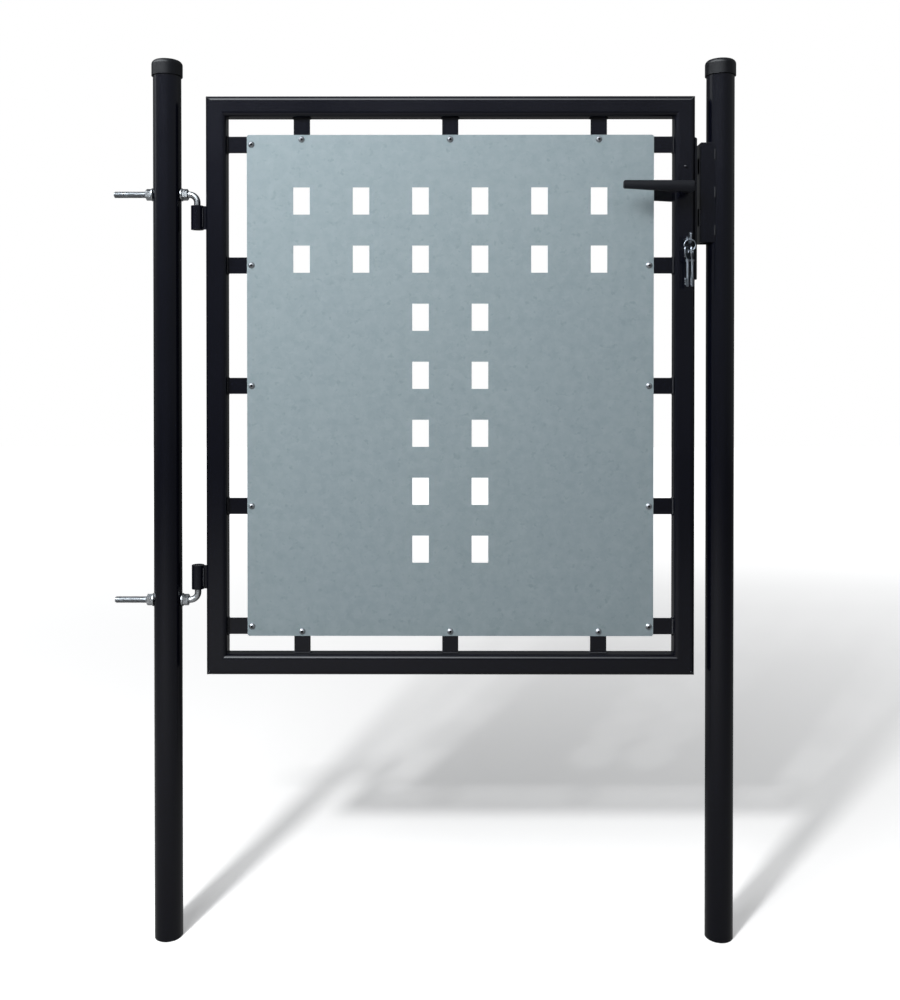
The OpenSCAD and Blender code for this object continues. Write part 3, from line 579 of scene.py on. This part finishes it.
def tab_places(name, axis):
    """The ends of each tab of a node along the frame, found from its vertices"""
    values = sorted({round(v.co[axis], 5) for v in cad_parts[name].data.vertices})
    ends = []
    for value in values:
        if any(abs(value + tab_width - other) < tab_match for other in values):
            ends.append((value, value + tab_width))
    return ends


for name, axis, seam in (("hinge_side_tabs", 2, stile_in), ("lock_side_tabs", 2, lock_in),
                         ("top_tabs", 0, top_in), ("bottom_tabs", 0, bottom_in)):
    dress(softened(name, name.replace("tabs", "flats"), 0.0006), "leaf", "black_powder_coat",
          powder_black, name)
    beads = []
    for low_end, high_end in tab_places(name, axis):
        for side in (-1, 1):
            y = side * tab_half_t
            ends = (low_end + tab_end_inset, high_end - tab_end_inset)
            points = [(seam, y, v) if axis == 2 else (v, y, seam) for v in ends]
            beads.append(weld_bead(*points, tab_side_bead_r))
        for v in (low_end, high_end):
            across = (-tab_end_bead_y, tab_end_bead_y)
            points = [(seam, y, v) if axis == 2 else (v, y, seam) for y in across]
            beads.append(weld_bead(*points, tab_end_bead_r))
    dress(joined(name.replace("tabs", "welds"), beads), "leaf", "black_powder_coat", powder_black)

# ---------- Sheet panel ----------
# Hot-dip galvanised sheet, cut out in a T-shaped field. Its zinc has a soft, small spangle
# with scattered darker flecks and a faint cloudiness.
sheet = bpy.data.materials.new("galvanised sheet")
sheet.use_nodes = True
tree = sheet.node_tree
shader = tree.nodes["Principled BSDF"]
shader.inputs["Metallic"].default_value = 0.1
place = node(tree, "ShaderNodeTexCoord", -8, 1)
warp = node(tree, "ShaderNodeTexNoise", -7, 2, {"Scale": 60, "Detail": 3, "Roughness": 0.6})
tree.links.new(place.outputs["Object"], warp.inputs["Vector"])
bent = node(tree, "ShaderNodeMixRGB", -6, 1, {"Fac": 0.035}, blend_type="ADD")
tree.links.new(place.outputs["Object"], bent.inputs[1])
tree.links.new(warp.outputs["Color"], bent.inputs[2])
spangle = node(tree, "ShaderNodeTexVoronoi", -5, 0, {"Scale": 70, "Randomness": 1})
tree.links.new(bent.outputs[0], spangle.inputs["Vector"])
cell_tone = node(tree, "ShaderNodeSeparateColor", -4, 0)
tree.links.new(spangle.outputs["Color"], cell_tone.inputs[0])
cloud = node(tree, "ShaderNodeTexNoise", -5, 1, {"Scale": 46, "Detail": 2, "Roughness": 0.5})
tree.links.new(place.outputs["Object"], cloud.inputs["Vector"])
fleck = node(tree, "ShaderNodeTexNoise", -5, 2, {"Scale": 75, "Detail": 2, "Roughness": 0.5})
tree.links.new(place.outputs["Object"], fleck.inputs["Vector"])
fleck_mask = node(tree, "ShaderNodeMapRange", -4, 2, {"From Min": 0.62, "From Max": 0.74})
tree.links.new(fleck.outputs[0], fleck_mask.inputs["Value"])
blend_tone = node(tree, "ShaderNodeMix", -3, 0, {"Factor": 0.8}, data_type="FLOAT")
tree.links.new(cell_tone.outputs[0], blend_tone.inputs["A"])
tree.links.new(cloud.outputs[0], blend_tone.inputs["B"])
zinc_tone = node(tree, "ShaderNodeMapRange", -2, 0, {"From Min": 0.25, "From Max": 0.75})
tree.links.new(blend_tone.outputs["Result"], zinc_tone.inputs["Value"])
zinc_colour = node(tree, "ShaderNodeMix", -1, 0, data_type="RGBA")
zinc_colour.inputs["A"].default_value = (0.285, 0.355, 0.385, 1)
zinc_colour.inputs["B"].default_value = (0.345, 0.415, 0.445, 1)
tree.links.new(zinc_tone.outputs[0], zinc_colour.inputs["Factor"])
flecked = node(tree, "ShaderNodeMix", 0, 0, data_type="RGBA")
flecked.inputs["B"].default_value = (0.27, 0.34, 0.365, 1)
tree.links.new(fleck_mask.outputs[0], flecked.inputs["Factor"])
tree.links.new(zinc_colour.outputs["Result"], flecked.inputs["A"])
tree.links.new(flecked.outputs["Result"], shader.inputs["Base Color"])
sheet_rough = node(tree, "ShaderNodeMapRange", -1, 2,
                   {"From Min": 0.2, "From Max": 0.8, "To Min": 0.5, "To Max": 0.62})
tree.links.new(blend_tone.outputs["Result"], sheet_rough.inputs["Value"])
tree.links.new(sheet_rough.outputs[0], shader.inputs["Roughness"])
sheet_bump = node(tree, "ShaderNodeBump", -1, 3, {"Strength": 0.3, "Distance": 0.00008})
tree.links.new(blend_tone.outputs["Result"], sheet_bump.inputs["Height"])
tree.links.new(sheet_bump.outputs["Normal"], shader.inputs["Normal"])
give(sheet, "panel")

# ---------- Panel screws and nuts ----------
# Domed socket-head screws through the sheet and the tabs, with hexagon nuts behind. Their
# plating is darker and duller than that of the hinge bolts. Their sockets are painted
# near-black as shade.
screw_zinc = plated("dull zinc plating", dark=(0.2, 0.21, 0.225), light=(0.44, 0.455, 0.48),
                    grain_depth=0.00004, bright=0.4, dull=0.56)
# Painted shade: a near-black material that stands for the shade down in each socket.
painted_shade = coated("grime in a socket", dark=(0.006, 0.006, 0.007), light=(0.016, 0.016, 0.017),
               ripple_scale=900, ripple_depth=0.0001, gloss=0.5, dull=0.7, specular=0.2)
socket_r = 0.0029


def small_parts(name, reach=0.02):
    """The middles in X and Z of the separate small parts of a node"""
    groups = []
    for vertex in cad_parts[name].data.vertices:
        x, z = vertex.co.x, vertex.co.z
        near = [g for g in groups if abs(g[0][0] - x) < reach and abs(g[0][1] - z) < reach]
        if near:
            near[0].append((x, z))
        else:
            groups.append([(x, z)])
    middles = []
    for group in groups:
        xs, zs = zip(*group)
        middles.append(((min(xs) + max(xs)) / 2, (min(zs) + max(zs)) / 2))
    return middles


screws = softened("panel_screws", "socket_screws", 0.0002, 1)
screws.data.materials.append(screw_zinc)
screws.data.materials.append(painted_shade)
sheet_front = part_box("panel")[0].y
centres = small_parts("panel_screws")
# The faces inside each socket take the painted shade.
for face in screws.data.polygons:
    off_axis = min(math.hypot(face.center.x - x, face.center.z - z) for x, z in centres)
    face.material_index = int(off_axis < socket_r and face.center.y < sheet_front)
dress(screws, "leaf", "zinc_plated_steel", screw_zinc, "panel_screws")
give(screw_zinc, "panel_nuts")

# ---------- Lock ----------
# A mortice lock in the stile: a coated face strip held by two countersunk screws, a plated
# latch and dead bolt drawn back into it, and a plated case behind.
give(zinc, "latch_bolt", "dead_bolt", "lock_case")
dress(softened("lock_strip", "lock_face", 0.0005), "leaf", "black_powder_coat", powder_black,
      "lock_strip")
slot_size = (0.012, 0.0009, 0.002)
strip_screw_inset = 0.014


def slotted_head(place, facing, profile, slot_turn):
    """A slotted screw head turned up from a profile of heights and radii, facing a direction"""
    bottom, radius = profile[0]
    bpy.ops.object.select_all(action="DESELECT")
    bpy.ops.mesh.primitive_circle_add(vertices=28, radius=radius, fill_type="NGON",
                                      location=(0, 0, bottom))
    head = bpy.context.object
    bpy.ops.object.transform_apply(location=True, rotation=True, scale=True)
    bpy.ops.object.mode_set(mode="EDIT")
    bpy.ops.mesh.select_all(action="SELECT")
    for height, wider in profile[1:]:
        bpy.ops.mesh.extrude_region_move(TRANSFORM_OT_translate={"value": (0, 0, height - bottom)})
        bpy.ops.transform.resize(value=(wider / radius, wider / radius, 1))
        bottom, radius = height, wider
    leave(head, 40)
    bpy.ops.object.select_all(action="DESELECT")
    bpy.ops.mesh.primitive_cube_add(size=1, location=(0, 0, bottom), scale=slot_size,
                                    rotation=(0, 0, math.radians(slot_turn)))
    cutter = bpy.context.object
    apply_modifier(head, "BOOLEAN", object=cutter, operation="DIFFERENCE", solver="EXACT")
    bpy.data.objects.remove(cutter)
    turn = Vector(facing).to_track_quat("Z", "Y").to_matrix().to_4x4()
    head.data.transform(Matrix.Translation(place) @ turn)
    return head


flat_head = ((-0.0045, 0.0023), (-0.0022, 0.0023), (-0.0001, 0.0045), (0, 0.0044))
strip_low, strip_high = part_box("lock_strip")
strip_screws = []
for z, slot_turn in ((strip_low.z + strip_screw_inset, 20), (strip_high.z - strip_screw_inset, 65)):
    strip_screws.append(slotted_head((strip_high.x, 0, z), (1, 0, 0), flat_head, slot_turn))
dress(joined("lock_face_screws", strip_screws), "leaf", "zinc_plated_steel", screw_zinc)

# ---------- Strike ----------
# A channel folded from steel plate, with a mouth for the latch and one for the dead bolt. It
# is coped to the latch post's curve, held by short welds and coated with the post.
strike_bead_r = 0.0028
strike_bead_half = 0.011
strike_low, strike_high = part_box("strike")
dress(softened("strike", "strike_channel", 0.0006), "posts", "black_powder_coat", powder_black,
      "strike")
beads = []
for side in (-1, 1):
    for centre in (0.12, 0.5, 0.88):
        z = strike_low.z + centre * (strike_high.z - strike_low.z)
        edge = (strike_high.x - 0.0002, side * (strike_high.y - 0.0006))
        beads.append(weld_bead((*edge, z - strike_bead_half), (*edge, z + strike_bead_half),
                               strike_bead_r))
dress(joined("strike_welds", beads), "posts", "black_powder_coat", powder_black)

# ---------- Escutcheons ----------
# Black coated steel plates on both faces of the stile, round the handle's neck and the
# keyhole. Each is held by two slotted raised-head screws.
plate_screw_inset = 0.011
plate_low, plate_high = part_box("front_escutcheon")
plate_x = (plate_low.x + plate_high.x) / 2
raised_head = ((-0.0004, 0.0042), (0.0003, 0.0042), (0.0009, 0.0038), (0.0014, 0.0029),
               (0.0017, 0.0014))
for end, side in (("front", -1), ("rear", 1)):
    name = end + "_escutcheon"
    dress(softened(name, end + "_lock_plate", 0.0009), "leaf", "black_powder_coat", powder_black,
          name)
    face = plate_low.y if side < 0 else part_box(name)[1].y
    screws = []
    for z, slot_turn in ((plate_low.z + plate_screw_inset, 25), (plate_high.z - plate_screw_inset, 70)):
        screws.append(slotted_head((plate_x, face, z), (0, side, 0), raised_head, slot_turn))
    dress(joined(end + "_plate_screws", screws), "leaf", "black_powder_coat", powder_black)

# ---------- Lever handles ----------
# Two levers cast in light alloy and coated black, each with a domed arm and a round neck.
# One plated square bar through the lock joins them.
lever_black = coated("black coated casting", dark=(0.0085, 0.0092, 0.012),
                     light=(0.0125, 0.0135, 0.0165), ripple_scale=520, ripple_depth=0.00004,
                     gloss=0.4, dull=0.48, specular=0.08)
for end in ("front", "rear"):
    dress(softened(end + "_lever", end + "_handle", 0.0016, 3), "handle", "black_cast_alloy",
          lever_black, end + "_lever")
give(zinc, "spindle")

# ---------- Keys ----------
# Lever-lock keys pressed from plated steel. One is in the lock, and two spare ones hang from
# its bow on a ring of plated wire.
key_zinc = plated("plated key steel", dark=(0.17, 0.19, 0.22), light=(0.34, 0.37, 0.41),
                  grain_depth=0.00003, bright=0.3, dull=0.46)
for name in ("lock_key", "spare_key_left", "spare_key_right"):
    dress(softened(name, name.replace("_key", "") + "_key_steel", 0.0004), "leaf",
          "zinc_plated_steel", key_zinc, name)
give(key_zinc, "key_ring")

# ---------- Finish ----------
# The bounds of the dressed gate, with the floor left out, are measured.
low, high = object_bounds()
